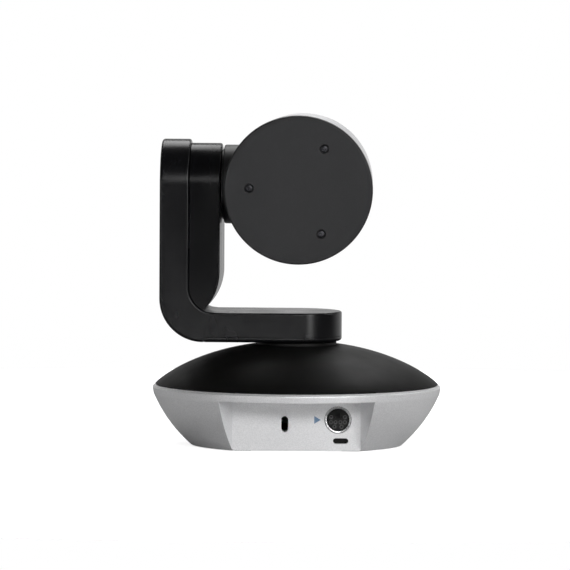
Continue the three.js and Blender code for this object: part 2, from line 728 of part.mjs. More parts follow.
// ---- Lens block ----
const frontPlateBack = 9.6;
const rearPlateFront = -18;
const lensFrameSolid = join(
  block([-19, 19], [frontPlateBack, frontPlateBack + 2.4], [-19, 19]),
  block([-19, 19], [rearPlateFront - 2, rearPlateFront], [-19, 19]),
  block([-19, 19], [rearPlateFront - 1, frontPlateBack + 1], [-19, -17]),
);
const frontCellHole = alongY(rod(11.8, 5, 20, midSides));
const sensorHole = block([-5, 5], [-30, -10], [-4, 4]);
const screwX = 14.5;
const screwZ = 11;
const leadScrewHoles = [-screwX, screwX].map((x) => moved(alongY(rod(1.6, -30, -10, 12)), x, 0, screwZ));
piece(drum, 'lens_frame', cut(lensFrameSolid, frontCellHole, sensorHole, ...leadScrewHoles), darkSteel);
piece(
  drum,
  'front_lens_cell',
  alongY(turned([[9.6, 7.8], [11.5, 7.8], [11.5, 16.6], [10.4, 16.6], [10.4, 11.8], [9.6, 10.6]], midSides)),
  blackPlastic,
);
const frontLens = [[0, 11.2], [9.9, 12.2], [10.1, 13.4], ...arc(0, -4.6, 20.6, 61, 90, 5)];
piece(drum, 'front_lens', alongY(turned(frontLens, midSides)), glass);
const railRadius = 1;
const railSpots = [[-screwX, -7], [screwX, -7]];
railSpots.forEach(([x, z], index) => {
  const rail = alongY(rod(railRadius, rearPlateFront + gap, frontPlateBack - gap, 12));
  piece(drum, `guide_rail_${index + 1}`, moved(rail, x, 0, z), steel);
});
const sensorBoard = block([-13, 13], [-23.4, -22], [-14, 5.5]);
const sensorChip = block([-4.5, 4.5], [-22.2, -19.2], [-3.5, 3.5]);
piece(drum, 'sensor_board', join(sensorBoard, sensorChip), boardGreen);

// A moving lens group: a ring with its lens, two ears that ride the rails, and a nut on its screw.
function lensCarriage(depth, lensRadius, nutX) {
  const body = join(
    alongY(rod(lensRadius + 2.6, 0, depth, midSides)),
    block([-screwX - 2.2, screwX + 2.2], [0, depth], [-9, -5]),
    block([Math.min(nutX * 1.16, 0), Math.max(nutX * 1.16, 0)], [0, depth], [8.6, 13.4]),
    block([-4, 4], [0, depth], [6, 12]),
  );
  const railHole = () => alongY(rod(railRadius + gap, -5, depth + 5, 12));
  const railHoles = railSpots.map(([x, z]) => moved(railHole(), x, 0, z));
  const nutHole = moved(alongY(rod(1.45, -5, depth + 5, 12)), nutX, 0, screwZ);
  return cut(body, alongY(rod(lensRadius, -5, depth + 5, midSides)), nutHole, ...railHoles);
}
function lensElement(depth, lensRadius) {
  const half = depth / 2 - 0.2;
  const edge = half * 0.3;
  return alongY(turned([[0, -half], [lensRadius, -edge], [lensRadius, edge], [0, half]], midSides));
}
function leadScrew() {
  const thread = rod(1.1, rearPlateFront - 2.4, frontPlateBack - gap, 12);
  const flat = block([0.75, 3], [-3, 3], [rearPlateFront - 4, frontPlateBack]);
  return alongY(cut(thread, flat));
}

const motorFront = rearPlateFront - 2.7;
const lensGroups = [
  { name: 'zoom', side: -1, back: 2.2, depth: 5, lensRadius: 6.4 },
  { name: 'focus', side: 1, back: -13.5, depth: 4, lensRadius: 5.6 },
];
lensGroups.forEach(({ name, side, back, depth, lensRadius }) => {
  const x = side * screwX;
  piece(drum, `${name}_carriage`, moved(lensCarriage(depth, lensRadius, x), 0, back, 0), softBlack);
  piece(drum, `${name}_lens`, moved(lensElement(depth, lensRadius - gap), 0, back + depth / 2, 0), glass);
  piece(drum, `${name}_screw`, moved(leadScrew(), x, 0, screwZ), steel);
  const can = rod(4.6, motorFront - 9, motorFront, 24);
  const flange = block([-6.5, 6.5], [-3, 3], [motorFront - 0.8, motorFront]);
  piece(drum, `${name}_motor`, moved(alongY(join(can, flange)), x, 0, screwZ), steel);
});

export default camera;
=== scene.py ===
import json
import math

import bmesh
import bpy
from mathutils import Matrix, Quaternion, Vector


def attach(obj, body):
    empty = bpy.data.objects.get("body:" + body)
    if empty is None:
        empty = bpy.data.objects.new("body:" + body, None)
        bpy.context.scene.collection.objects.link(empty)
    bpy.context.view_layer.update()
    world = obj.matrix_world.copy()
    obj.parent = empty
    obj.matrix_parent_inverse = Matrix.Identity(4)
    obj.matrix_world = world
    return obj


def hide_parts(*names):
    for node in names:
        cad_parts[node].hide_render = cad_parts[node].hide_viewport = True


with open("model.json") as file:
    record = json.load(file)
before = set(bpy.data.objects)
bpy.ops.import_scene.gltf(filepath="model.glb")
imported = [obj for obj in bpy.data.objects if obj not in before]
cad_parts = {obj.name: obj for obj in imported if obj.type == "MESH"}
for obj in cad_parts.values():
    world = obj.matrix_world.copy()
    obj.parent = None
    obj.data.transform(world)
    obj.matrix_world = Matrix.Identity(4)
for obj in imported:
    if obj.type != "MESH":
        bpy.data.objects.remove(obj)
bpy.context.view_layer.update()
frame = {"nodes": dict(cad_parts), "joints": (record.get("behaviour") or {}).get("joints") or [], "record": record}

# Shapes are worked out in millimetres, each in its own body's frame, and placed in metres.
MM = 0.001

# ---------------------------------------------------------------- places taken from the frame
joints = {joint["name"]: joint for joint in frame["joints"]}
tilt_axis = Vector(joints["tilt"]["axis"])
lens_axis = Vector(joints["zoom_slide"]["axis"])
TILT_Z = joints["tilt"]["pos_m"][2] / MM
PAN = math.atan2(tilt_axis.y, tilt_axis.x)
TILT = math.asin(lens_axis.z)
BASE = Matrix.Identity(4)
ARM = Matrix.Rotation(PAN, 4, "Z")
HEAD = ARM @ Matrix.Translation((0, 0, TILT_Z)) @ Matrix.Rotation(TILT, 4, "X")
# The drum's middle stands this far beyond the pan axis.
HEAD_X = 2.0
DRUM = HEAD @ Matrix.Translation((HEAD_X, 0, 0)) @ Matrix.Rotation(-math.pi / 2, 4, "X")
BOSS = HEAD @ Matrix.Rotation(math.pi / 2, 4, "Y")

# ---------------------------------------------------------------- driving sizes (mm)
# Gaps: GAP is open to the eye, SEAM and HAIRLINE are lines between covers that meet.
GAP = 0.3
SEAM = 0.12
HAIRLINE = 0.08
WALL = 2.0
SHAFT_R = 6.3
HUB_R = 9.3
# Base: the bowl's foot, wall and rim as (radius, z), and the port recess behind
RIM_R = 65.5
BOWL_FOOT = (48.0, 0.4)
BOWL_TOP = (65.1, 23.8)
BOWL_ARC = 64.0
RIM_BELOW = (65.3, 25.2)
RIM_CORNER = (64.85, 26.4)
RIM_ROUND = 0.62
LIP = (64.55, 27.6)
LIP_THICK = 1.3
PORT_Y = 39.0
PORT_HALF = 28.9
PORT_HALF_AT_RIM = 39.3
PORT_FLARE = (PORT_HALF_AT_RIM - PORT_HALF) / (RIM_R - PORT_Y)
PORT_TOP = 23.7
# Base: the dome over the bowl
DOME_R = 64.2
DOME_Z = 27.9
DOME_RISE = 19.7
DOME_FULLNESS = 2.18
DOME_SHOULDER = 0.84
DOME_MOUTH = 18.5
DOME_WALL = 2.2
# Base: what the recess holds, as the (x, z) of each middle, and each opening's (width, height).
# PIN_PAIRS holds the (x, y) of one pin of each pair, with y down from the socket's middle.
SOCKET = (18.7, 14.4)
SOCKET_HOLE_R = 6.1
PIN_PAIRS = ((3.1, -1.2), (3.1, 1.1), (1.1, 1.1), (1.6, 3.1))
LOCK = (-5.3, 12.4)
LOCK_SIZE = (3.2, 7.2)
CLIP = (19.9, 4.9)
CLIP_SIZE = (6.9, 2.5)
WINDOW_Z = 15.5
WINDOW_SIZE = (15, 5)
ARROW_X = SOCKET[0] - 9.3
# Arm: the L-shaped band, its floor cover and the housing inside the upright
ARM_HALF = 20.4
ARM_FLOOR = 47.7
ARM_SEAM = 50.0
ARM_TOP = 61.1
ARM_OUT = -61.5
ARM_IN = -48.3
OUT_BEND = 19.8
IN_BEND = 11.5
ARM_SCREW_X = (-34, 16)
HOUSE_IN = -34.2
HOUSE_HALF = 18.6
HOUSE_BEND = 24.3
HOUSE_BEND_Z = 79.5
COLLAR_R = 18.0
# Head: distances along the drum run forward from the tilt axis
DISC_R = 33.6
DISC_REAR = -35.0
DISC_FRONT = DISC_REAR + 4.2
DISC_ROUND = 0.9
DISC_SPIGOT = (28.0, 29.6)
BARREL_REAR_R = 32.6
BARREL_FRONT_R = 31.5
BARREL_WALL = 2.2
BARREL_FRONT = 15.0
BEZEL_FRONT = 19.0
BOSS_R = 17.9
BOSS_X = -33.2
BOSS_ROUND = 0.9
BOSS_SPIGOT_R = 16.0
SCREW_RING = 22.2
SCREW_ANGLES = (180, 60, -60)
SCREW_TURN = 2.0


# ---------------------------------------------------------------- mesh helpers
def mesh_object(name, points, faces, matrix=BASE):
    """A mesh object from millimetre points, placed by matrix, in metres."""
    mesh = bpy.data.meshes.new(name)
    placed = [(matrix @ Vector(point)) * MM for point in points]
    mesh.from_pydata(placed, [], faces)
    mesh.validate()
    bm = bmesh.new()
    bm.from_mesh(mesh)
    bmesh.ops.remove_doubles(bm, verts=bm.verts, dist=0.5e-6)
    bmesh.ops.dissolve_degenerate(bm, edges=bm.edges, dist=0.5e-6)
    bmesh.ops.recalc_face_normals(bm, faces=bm.faces)
    bm.to_mesh(mesh)
    bm.free()
    obj = bpy.data.objects.new(name, mesh)
    bpy.context.scene.collection.objects.link(obj)
    return obj


def loft(loops, cap_start=True, cap_end=True, ring=False):
    """Points and quads through equal closed loops. ring joins the last loop to the first."""
    count = len(loops[0])
    points = [point for loop in loops for point in loop]
    faces = []
    pairs = list(zip(range(len(loops) - 1), range(1, len(loops))))
    if ring:
        pairs.append((len(loops) - 1, 0))
    for a, b in pairs:
        for i in range(count):
            j = (i + 1) % count
            faces.append((a * count + i, a * count + j, b * count + j, b * count + i))
    if cap_start and not ring:
        faces.append(tuple(reversed(range(count))))
    if cap_end and not ring:
        faces.append(tuple(range((len(loops) - 1) * count, len(loops) * count)))
    return points, faces


def turned(profile, sides=160):
    """A solid of revolution about Z from (radius, z) points. The profile is either a closed
    outline or starts and ends on the axis."""
    on_axis = abs(profile[0][0]) < 1e-6
    loops = []
    for radius, z in profile:
        steps = [2 * math.pi * i / sides for i in range(sides)]
        loops.append([(radius * math.cos(a), radius * math.sin(a), z) for a in steps])
    return loft(loops, False, False, ring=not on_axis)


def arc(cx, cy, radius, start, end, steps):
    """Points along an arc, its angles in degrees."""
    angles = [math.radians(start + (end - start) * i / steps) for i in range(steps + 1)]
    return [(cx + radius * math.cos(a), cy + radius * math.sin(a)) for a in angles]


def rounded(points, radii, steps=4):
    """A closed outline with its corners rounded. radii holds one radius for each corner."""
    result = []
    count = len(points)
    for i, radius in enumerate(radii):
        corner = Vector(points[i])
        before = Vector(points[i - 1]) - corner
        after = Vector(points[(i + 1) % count]) - corner
        if radius <= 0:
            result.append(tuple(corner))
            continue
        half = before.angle(after) / 2
        reach = radius / math.tan(half)
        inward = (before.normalized() + after.normalized()).normalized()
        centre = corner + inward * (radius / math.sin(half))
        first = corner + before.normalized() * reach - centre
        last = corner + after.normalized() * reach - centre
        for step in range(steps + 1):
            spoke = first.slerp(last, step / steps)
            result.append(tuple(centre + spoke.normalized() * radius))
    return result


def stack(outline, layers):
    """A solid from an outline function of the inset, lofted through (height, inset) layers."""
    return loft([[(x, y, z) for x, y in outline(inset)] for z, inset in layers])


def edge_layers(low, high, low_round, high_round, steps=4):
    """Layers of a plate from low to high with rounded edges, for stack()."""
    quarter = [math.pi / 2 * i / steps for i in range(steps + 1)]
    layers = [(low + low_round * (1 - math.cos(a)), low_round * (1 - math.sin(a))) for a in quarter]
    layers += [(high - high_round * (1 - math.sin(a)), high_round * (1 - math.cos(a))) for a in quarter]
    return layers


def slot_outline(width, height, steps=10):
    """A slot with round ends, about the origin."""
    half = min(width, height) / 2
    reach = max(width, height) / 2 - half
    dx, dy, turn = (reach, 0, -90) if width > height else (0, reach, 0)
    first = arc(dx, dy, half, turn, turn + 180, steps)
    return first + arc(-dx, -dy, half, turn + 180, turn + 360, steps)


def prism(outline, near, far, matrix=BASE, name="cutter"):
    """A solid from an outline, run along Z from near to far in the matrix's own frame."""
    rows = [[(x, y, z) for x, y in outline] for z in (near, far)]
    return mesh_object(name, *loft(rows), matrix)


def rod(radius, near, far, matrix=BASE, sides=64):
    """A round solid about Z from near to far in the matrix's own frame."""
    profile = [(0, near), (radius, near), (radius, far), (0, far)]
    return mesh_object("cutter", *turned(profile, sides), matrix)


def apply_modifier(obj, kind, **settings):
    modifier = obj.modifiers.new(kind.lower(), kind)
    for key, value in settings.items():
        setattr(modifier, key, value)
    bpy.context.view_layer.update()
    evaluated = obj.evaluated_get(bpy.context.evaluated_depsgraph_get())
    mesh = bpy.data.meshes.new_from_object(evaluated)
    old = obj.data
    obj.modifiers.clear()
    obj.data = mesh
    mesh.name = obj.name
    bpy.data.meshes.remove(old)


def boolean(obj, cutter, operation="DIFFERENCE"):
    """Cuts the cutter out of the object, or joins it on, and uses the cutter up."""
    apply_modifier(obj, "BOOLEAN", operation=operation, object=cutter, solver="EXACT")
    bpy.data.objects.remove(cutter)


def bevel(obj, width, segments=3, angle=32):
    apply_modifier(
        obj, "BEVEL", width=width * MM, segments=segments, limit_method="ANGLE",
        angle_limit=math.radians(angle), use_clamp_overlap=True, harden_normals=False,
    )


def smooth(obj, angle=38):
    obj.data.shade_smooth()
    obj.data.set_sharp_from_angle(angle=math.radians(angle))
    apply_modifier(obj, "WEIGHTED_NORMAL", keep_sharp=True, weight=60)


def merge_flats(obj):
    """Joins the faces that lie in one plane, so that flat stretches shade flat."""
    bm = bmesh.new()
    bm.from_mesh(obj.data)
    bmesh.ops.dissolve_limit(bm, angle_limit=math.radians(0.05), verts=bm.verts, edges=bm.edges)
    bm.to_mesh(obj.data)
    bm.free()


def piece(obj, body, slot, material, *nodes):
    """Dresses a finished mesh and puts it on its body in place of the CAD nodes named."""
    smooth(obj)
    obj.data.materials.clear()
    obj.data.materials.append(material)
    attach(obj, body)
    if nodes:
        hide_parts(*nodes)
    return obj


# ---------------------------------------------------------------- materials
def new_material(name):
    material = bpy.data.materials.new(name)
    material.use_nodes = True
    tree = material.node_tree
    tree.nodes.clear()
    output = tree.nodes.new("ShaderNodeOutputMaterial")
    shader = tree.nodes.new("ShaderNodeBsdfPrincipled")
    tree.links.new(shader.outputs[0], output.inputs[0])
    return material, tree, shader


def object_noise(tree, size_mm, detail=3.0, stretch=(1, 1, 1)):
    """Noise whose lumps are about size_mm across, fixed to the piece."""
    place = tree.nodes.new("ShaderNodeTexCoord")
    mapping = tree.nodes.new("ShaderNodeMapping")
    mapping.inputs["Scale"].default_value = stretch
    noise = tree.nodes.new("ShaderNodeTexNoise")
    noise.inputs["Scale"].default_value = 1 / (size_mm * MM)
    noise.inputs["Detail"].default_value = detail
    tree.links.new(place.outputs["Object"], mapping.inputs["Vector"])
    tree.links.new(mapping.outputs["Vector"], noise.inputs["Vector"])
    return noise.outputs["Fac"]


def between(tree, factor, low, high, start=0.3, end=0.7):
    """A number that runs from low to high as factor runs from start to end."""
    node = tree.nodes.new("ShaderNodeMapRange")
    for name, value in (("From Min", start), ("From Max", end), ("To Min", low), ("To Max", high)):
        node.inputs[name].default_value = value
    tree.links.new(factor, node.inputs["Value"])
    return node.outputs["Result"]


def tones(tree, factor, first, second, start=0.3, end=0.7):
    """A colour that runs from first to second as factor runs from start to end."""
    ramp = tree.nodes.new("ShaderNodeValToRGB")
    ramp.color_ramp.elements[0].position = start
    ramp.color_ramp.elements[1].position = end
    ramp.color_ramp.elements[0].color = (*first, 1)
    ramp.color_ramp.elements[1].color = (*second, 1)
    tree.links.new(factor, ramp.inputs["Fac"])
    return ramp.outputs["Color"]


def bumps(tree, shader, heights):
    """Stacks bump nodes: heights is a list of (factor, strength, depth in mm)."""
    normal = None
    for factor, strength, depth in heights:
        node = tree.nodes.new("ShaderNodeBump")
        node.inputs["Strength"].default_value = strength
        node.inputs["Distance"].default_value = depth * MM
        tree.links.new(factor, node.inputs["Height"])
        if normal:
            tree.links.new(normal, node.inputs["Normal"])
        normal = node.outputs["Normal"]
    tree.links.new(normal, shader.inputs["Normal"])


def moulded(name, dark, light, rough, grain, depth, strength=0.35, level=0.5):
    """Moulded plastic: a fine spark-eroded grain, depth deep, and a sheen that drifts a little."""
    material, tree, shader = new_material(name)
    fine = object_noise(tree, grain, 4.0)
    flow = object_noise(tree, 18.0, 2.0, (1, 1, 0.4))
    tree.links.new(tones(tree, fine, dark, light), shader.inputs["Base Color"])
    tree.links.new(between(tree, flow, rough - 0.05, rough + 0.05), shader.inputs["Roughness"])
    shader.inputs["Specular IOR Level"].default_value = level
    bumps(tree, shader, [(fine, strength, depth)])
    return material


def silver_paint(name):
    """Metallic paint on plastic: aluminium flake under a thin satin clear coat."""
    material, tree, shader = new_material(name)
    place = tree.nodes.new("ShaderNodeTexCoord")
    flakes = tree.nodes.new("ShaderNodeTexVoronoi")
    flakes.inputs["Scale"].default_value = 1 / (0.22 * MM)
    tree.links.new(place.outputs["Object"], flakes.inputs["Vector"])
    sparkle = tree.nodes.new("ShaderNodeSeparateColor")
    tree.links.new(flakes.outputs["Color"], sparkle.inputs["Color"])
    glint = sparkle.outputs["Red"]
    cloud = object_noise(tree, 14.0, 3.0)
    paint = tones(tree, glint, (0.72, 0.72, 0.73), (0.85, 0.85, 0.86), 0.1, 0.9)
    tree.links.new(paint, shader.inputs["Base Color"])
    tree.links.new(between(tree, cloud, 0.42, 0.48), shader.inputs["Roughness"])
    shader.inputs["Metallic"].default_value = 0.6
    shader.inputs["Coat Weight"].default_value = 0.35
    shader.inputs["Coat Roughness"].default_value = 0.22
    peel = object_noise(tree, 1.3, 2.0)
    bumps(tree, shader, [(peel, 0.05, 0.05), (glint, 0.12, 0.02)])
    return material


def metal(name, dark, light, rough, stretch=(1, 1, 0.05), grain=0.25):
    """Machined or rolled metal with a directional grain."""
    material, tree, shader = new_material(name)
    lines = object_noise(tree, grain, 4.0, stretch)
    stain = object_noise(tree, 9.0, 3.0)
    tree.links.new(tones(tree, stain, dark, light), shader.inputs["Base Color"])
    tree.links.new(between(tree, lines, rough - 0.08, rough + 0.1), shader.inputs["Roughness"])
    shader.inputs["Metallic"].default_value = 1.0
    bumps(tree, shader, [(lines, 0.15, 0.03)])
    return material


def gloss_window(name, tint, ior=1.5):
    """Hard-coated dark window with the faintest orange peel and dust."""
    material, tree, shader = new_material(name)
    dust = object_noise(tree, 0.6, 6.0)
    dusty = tuple(c * 1.8 for c in tint)
    tree.links.new(tones(tree, dust, tint, dusty, 0.55, 0.8), shader.inputs["Base Color"])
    tree.links.new(between(tree, dust, 0.03, 0.09, 0.5, 0.8), shader.inputs["Roughness"])
    shader.inputs["IOR"].default_value = ior
    shader.inputs["Coat Weight"].default_value = 0.6
    shader.inputs["Coat Roughness"].default_value = 0.03
    bumps(tree, shader, [(object_noise(tree, 6.0, 1.0), 0.03, 0.05)])
    return material


def lens_glass(name):
    """Optical glass with an anti-reflection coating, its purple and green reflection painted into the colour by
    how squarely each spot faces the eye.
    """
    material, tree, shader = new_material(name)
    fresnel = tree.nodes.new("ShaderNodeLayerWeight")
    fresnel.inputs["Blend"].default_value = 0.35
    # Painted reflection: the coating's purple and green tint is set in the base colour from the facing angle, not
    # reflected.
    painted_coating_reflection = tones(tree, fresnel.outputs["Facing"], (0.05, 0.02, 0.09), (0.02, 0.10, 0.07), 0.1, 0.9)
    tree.links.new(painted_coating_reflection, shader.inputs["Base Color"])
    dust = object_noise(tree, 0.5, 5.0)
    tree.links.new(between(tree, dust, 0.01, 0.05, 0.5, 0.8), shader.inputs["Roughness"])
    shader.inputs["IOR"].default_value = 1.7
    shader.inputs["Coat Weight"].default_value = 1.0
    shader.inputs["Coat Roughness"].default_value = 0.02
    return material


def circuit_board(name):
    """Green solder mask, lighter over the copper tracks."""
    material, tree, shader = new_material(name)
    place = tree.nodes.new("ShaderNodeTexCoord")
    tracks = tree.nodes.new("ShaderNodeTexVoronoi")
    tracks.distance = "MANHATTAN"
    tracks.feature = "DISTANCE_TO_EDGE"
    tracks.inputs["Scale"].default_value = 1 / (2.6 * MM)
    tree.links.new(place.outputs["Object"], tracks.inputs["Vector"])
    line = tracks.outputs["Distance"]
    mask = tones(tree, line, (0.03, 0.15, 0.08), (0.012, 0.07, 0.035), 0.04, 0.09)
    tree.links.new(mask, shader.inputs["Base Color"])
    fine = object_noise(tree, 0.5, 3.0)
    tree.links.new(between(tree, fine, 0.25, 0.4), shader.inputs["Roughness"])
    bumps(tree, shader, [(line, 0.2, 0.05)])
    return material


SILVER = silver_paint("silver_paint")
BLACK = moulded(
    "black_plastic", (0.0022, 0.0022, 0.0027), (0.0042, 0.0042, 0.0050),
    rough=0.25, grain=0.30, depth=0.02, strength=0.25, level=0.27,
)
HOUSING_BLACK = moulded(
    "housing_black", (0.0018, 0.0018, 0.0022), (0.0032, 0.0032, 0.0038),
    rough=0.24, grain=0.30, depth=0.02, strength=0.25, level=0.18,
)
SOFT = moulded(
    "soft_black", (0.0022, 0.0022, 0.0022), (0.0045, 0.0043, 0.0040),
    rough=0.52, grain=0.35, depth=0.03, strength=0.35, level=0.16,
)
BOSS_BLACK = moulded(
    "boss_black", (0.0022, 0.0022, 0.0024), (0.0045, 0.0045, 0.0048),
    rough=0.42, grain=0.35, depth=0.03, strength=0.35, level=0.4,
)
DISC = moulded(
    "disc_black", (0.0075, 0.0075, 0.0084), (0.0120, 0.0120, 0.0133),
    rough=0.50, grain=0.32, depth=0.03, strength=0.40, level=0.3,
)
RUBBER = moulded(
    "rubber", (0.010, 0.010, 0.010), (0.020, 0.020, 0.019),
    rough=0.80, grain=0.60, depth=0.06, strength=0.5, level=0.3,
)
GREY = moulded(
    "grey_plastic", (0.10, 0.10, 0.105), (0.17, 0.17, 0.175), rough=0.55, grain=0.8, depth=0.04,
)
ACETAL = moulded(
    "white_acetal", (0.62, 0.61, 0.57), (0.72, 0.71, 0.67), rough=0.42, grain=0.9, depth=0.02,
)
SOCKET_BLACK = moulded(
    "socket_black", (0.003, 0.003, 0.003), (0.006, 0.006, 0.006),
    rough=0.38, grain=0.5, depth=0.02, level=0.25,
)
PIN_RIM = moulded(
    "pin_rim", (0.045, 0.045, 0.045), (0.075, 0.075, 0.075), rough=0.45, grain=0.4, depth=0.02,
)
MARK = moulded(
    "arrow_mark", (0.13, 0.22, 0.36), (0.17, 0.28, 0.42), rough=0.5, grain=0.3, depth=0.01,
)
STEEL = metal("steel", (0.50, 0.50, 0.51), (0.62, 0.62, 0.63), 0.28)
DARK_STEEL = metal("dark_steel", (0.030, 0.030, 0.033), (0.055, 0.055, 0.06), 0.38)
BRASS = metal("brass", (0.55, 0.38, 0.14), (0.68, 0.50, 0.22), 0.25)
WINDOW = gloss_window("dark_window", (0.004, 0.004, 0.005))
LENS = lens_glass("lens_glass")
BOARD = circuit_board("circuit_board")
SLOT_MATERIAL = {
    "silver_paint": SILVER, "soft_black": SOFT, "black_plastic": BLACK, "disc_black": DISC,
    "rubber": RUBBER, "steel": STEEL, "dark_steel": DARK_STEEL, "brass": BRASS,
    "grey_plastic": GREY, "white_acetal": ACETAL, "circuit_board": BOARD,
    "dark_window": WINDOW, "lens_glass": LENS,
}


def dress_cad_nodes():
    """Gives every carried-over CAD node the material of its slot."""
    for entry in frame["record"]["subparts"]:
        node = frame["nodes"][entry["node"]]
        node.data.materials.clear()
        node.data.materials.append(SLOT_MATERIAL[entry["material_slot"]])


# ---------------------------------------------------------------- base
def bulge(start, end, radius, steps):
    """Arc between two points that bulges to the right of the way it runs."""
    a, b = Vector(start), Vector(end)
    chord = b - a
    inward = Vector((-chord.y, chord.x)).normalized()
    centre = (a + b) / 2 + inward * math.sqrt(radius**2 - (chord.length / 2) ** 2)
    first = math.degrees(math.atan2(a.y - centre.y, a.x - centre.x))
    last = math.degrees(math.atan2(b.y - centre.y, b.x - centre.x))
    return arc(centre.x, centre.y, radius, first, last, steps)


def port_edge_angle(radius):
    """How far round from straight behind the recess reaches, at that radius."""
    lean = math.atan(PORT_FLARE)
    side = lean + math.asin((PORT_HALF - PORT_Y * PORT_FLARE) * math.cos(lean) / radius)
    return min(side, math.acos(min(1, PORT_Y / radius)))


def behind(angle, radius, z):
    return (radius * math.sin(angle), -radius * math.cos(angle), z)


def port_prism(grow, low, high):
    """The recess as a solid, its walls moved out by grow."""
    deep = PORT_Y - grow
    near = PORT_HALF + grow - grow * PORT_FLARE
    far = 90.0
    half = near + (far - deep) * PORT_FLARE
    return prism([(-near, -deep), (near, -deep), (half, -far), (-half, -far)], low, high)


def facing_ports(x, y, z):
    """A frame at that place whose Z runs forward into the recess and whose Y runs down."""
    return Matrix.Translation((x, y, z)) @ Matrix.Rotation(-math.pi / 2, 4, "X")


def bowl_solid():
    """The bowl's outside as a solid: a wall with the recess left out, under a whole rim."""
    wall = [p for p in bulge(BOWL_FOOT, BOWL_TOP, BOWL_ARC, 30) if p[1] < PORT_TOP - 0.2]
    last_radius = bulge(BOWL_FOOT, BOWL_TOP, BOWL_ARC, 230)[-2][0]
    wall.append((last_radius, PORT_TOP))
    rim = [RIM_BELOW] + arc(*RIM_CORNER, RIM_ROUND, -5, 68, 8) + [LIP]
    around, across = 200, 48
    points, faces = [], []

    def add(point):
        points.append(point)
        return len(points) - 1

    def sweep(edge):
        return [edge + (2 * math.pi - 2 * edge) * i / around for i in range(around + 1)]

    rows = []
    for radius, z in wall:
        rows.append([add(behind(a, radius, z)) for a in sweep(port_edge_angle(radius))])
    for low, high in zip(rows, rows[1:]):
        for i in range(around):
            faces.append((low[i], low[i + 1], high[i + 1], high[i]))
    # The rim runs all the way round, over the recess too.
    edge = port_edge_angle(last_radius)
    over_port = [2 * math.pi - edge + 2 * edge * i / across for i in range(1, across)]
    angles = sweep(edge) + over_port
    ledge = [add(behind(a, last_radius, PORT_TOP)) for a in over_port]
    lower = rows[-1] + ledge
    count = len(angles)
    for radius, z in rim:
        upper = [add(behind(a, radius, z)) for a in angles]
        for i in range(count):
            j = (i + 1) % count
            faces.append((lower[i], lower[j], upper[j], upper[i]))
        lower = upper
    faces.append(tuple(lower))
    # The recess: side walls, ceiling and flat back, then the underside.
    right = [add((PORT_HALF, -PORT_Y, z)) for radius, z in wall]
    left = [add((-PORT_HALF, -PORT_Y, z)) for radius, z in wall]
    for i in range(len(rows) - 1):
        faces.append((rows[i][0], rows[i + 1][0], right[i + 1], right[i]))
        faces.append((rows[i][-1], rows[i + 1][-1], left[i + 1], left[i]))
        faces.append((right[i], right[i + 1], left[i + 1], left[i]))
    faces.append((rows[-1][-1], *ledge, rows[-1][0], right[-1], left[-1]))
    faces.append((*rows[0], left[0], right[0]))
    return mesh_object("base_bowl", points, faces)


def bowl_hollow():
    """The space inside the bowl, which keeps a wall's thickness clear of the recess."""
    wall = [(r - WALL * 0.97, z - 0.3) for r, z in bulge(BOWL_FOOT, BOWL_TOP, BOWL_ARC, 24)]
    floor, roof, neck = -3, 32, LIP[0] - LIP_THICK
    profile = [(0, floor), (wall[0][0], floor)] + wall + [(neck, 25.5), (neck, roof), (0, roof)]
    hollow = mesh_object("cutter", *turned(profile))
    boolean(hollow, port_prism(WALL, -5, PORT_TOP + WALL))
    return hollow


def build_bowl():
    bowl = bowl_solid()
    boolean(bowl, bowl_hollow())
    behind_wall, before_wall = -30, -50
    openings = (
        (LOCK, slot_outline(*LOCK_SIZE)),
        (SOCKET, arc(0, 0, SOCKET_HOLE_R, 0, 360 - 360 / 64, 63)),
        (CLIP, slot_outline(*CLIP_SIZE)),
    )
    for (x, z), outline in openings:
        boolean(bowl, prism(outline, before_wall, behind_wall, facing_ports(x, 0, z)))
    window = slot_outline(*WINDOW_SIZE, 12)
    boolean(bowl, prism(window, 50, 75, facing_ports(0, 0, WINDOW_Z)))
    bevel(bowl, 0.3)
    piece(bowl, "base", "silver_paint", SILVER, "base_lower_shell")


def dome_height(radius):
    fall = min(1.0, (radius / (DOME_R + 0.3)) ** DOME_FULLNESS)
    return DOME_Z - 0.4 + DOME_RISE * (1 - fall) ** DOME_SHOULDER


def build_dome():
    mouth_r = DOME_MOUTH + 0.5
    steps = 44
    outer = []
    for i in range(steps + 1):
        share = math.sin(math.pi / 2 * i / steps)
        radius = mouth_r + (DOME_R - 0.25 - mouth_r) * share
        outer.append((radius, dome_height(radius)))
    edge = [(DOME_R - 0.05, DOME_Z + 0.12), (DOME_R - 0.1, DOME_Z), (DOME_R - DOME_WALL, DOME_Z)]
    inner = [(r, dome_height(r) - DOME_WALL) for r in (60, 54, 46, 36, 26, DOME_MOUTH)]
    top = dome_height(DOME_MOUTH)
    lip = [(DOME_MOUTH, top - 0.5), (DOME_MOUTH + 0.12, top - 0.18)]
    dome = mesh_object("base_dome", *turned(outer + edge + inner + lip, 200))
    piece(dome, "base", "soft_black", SOFT, "base_dome_cover")


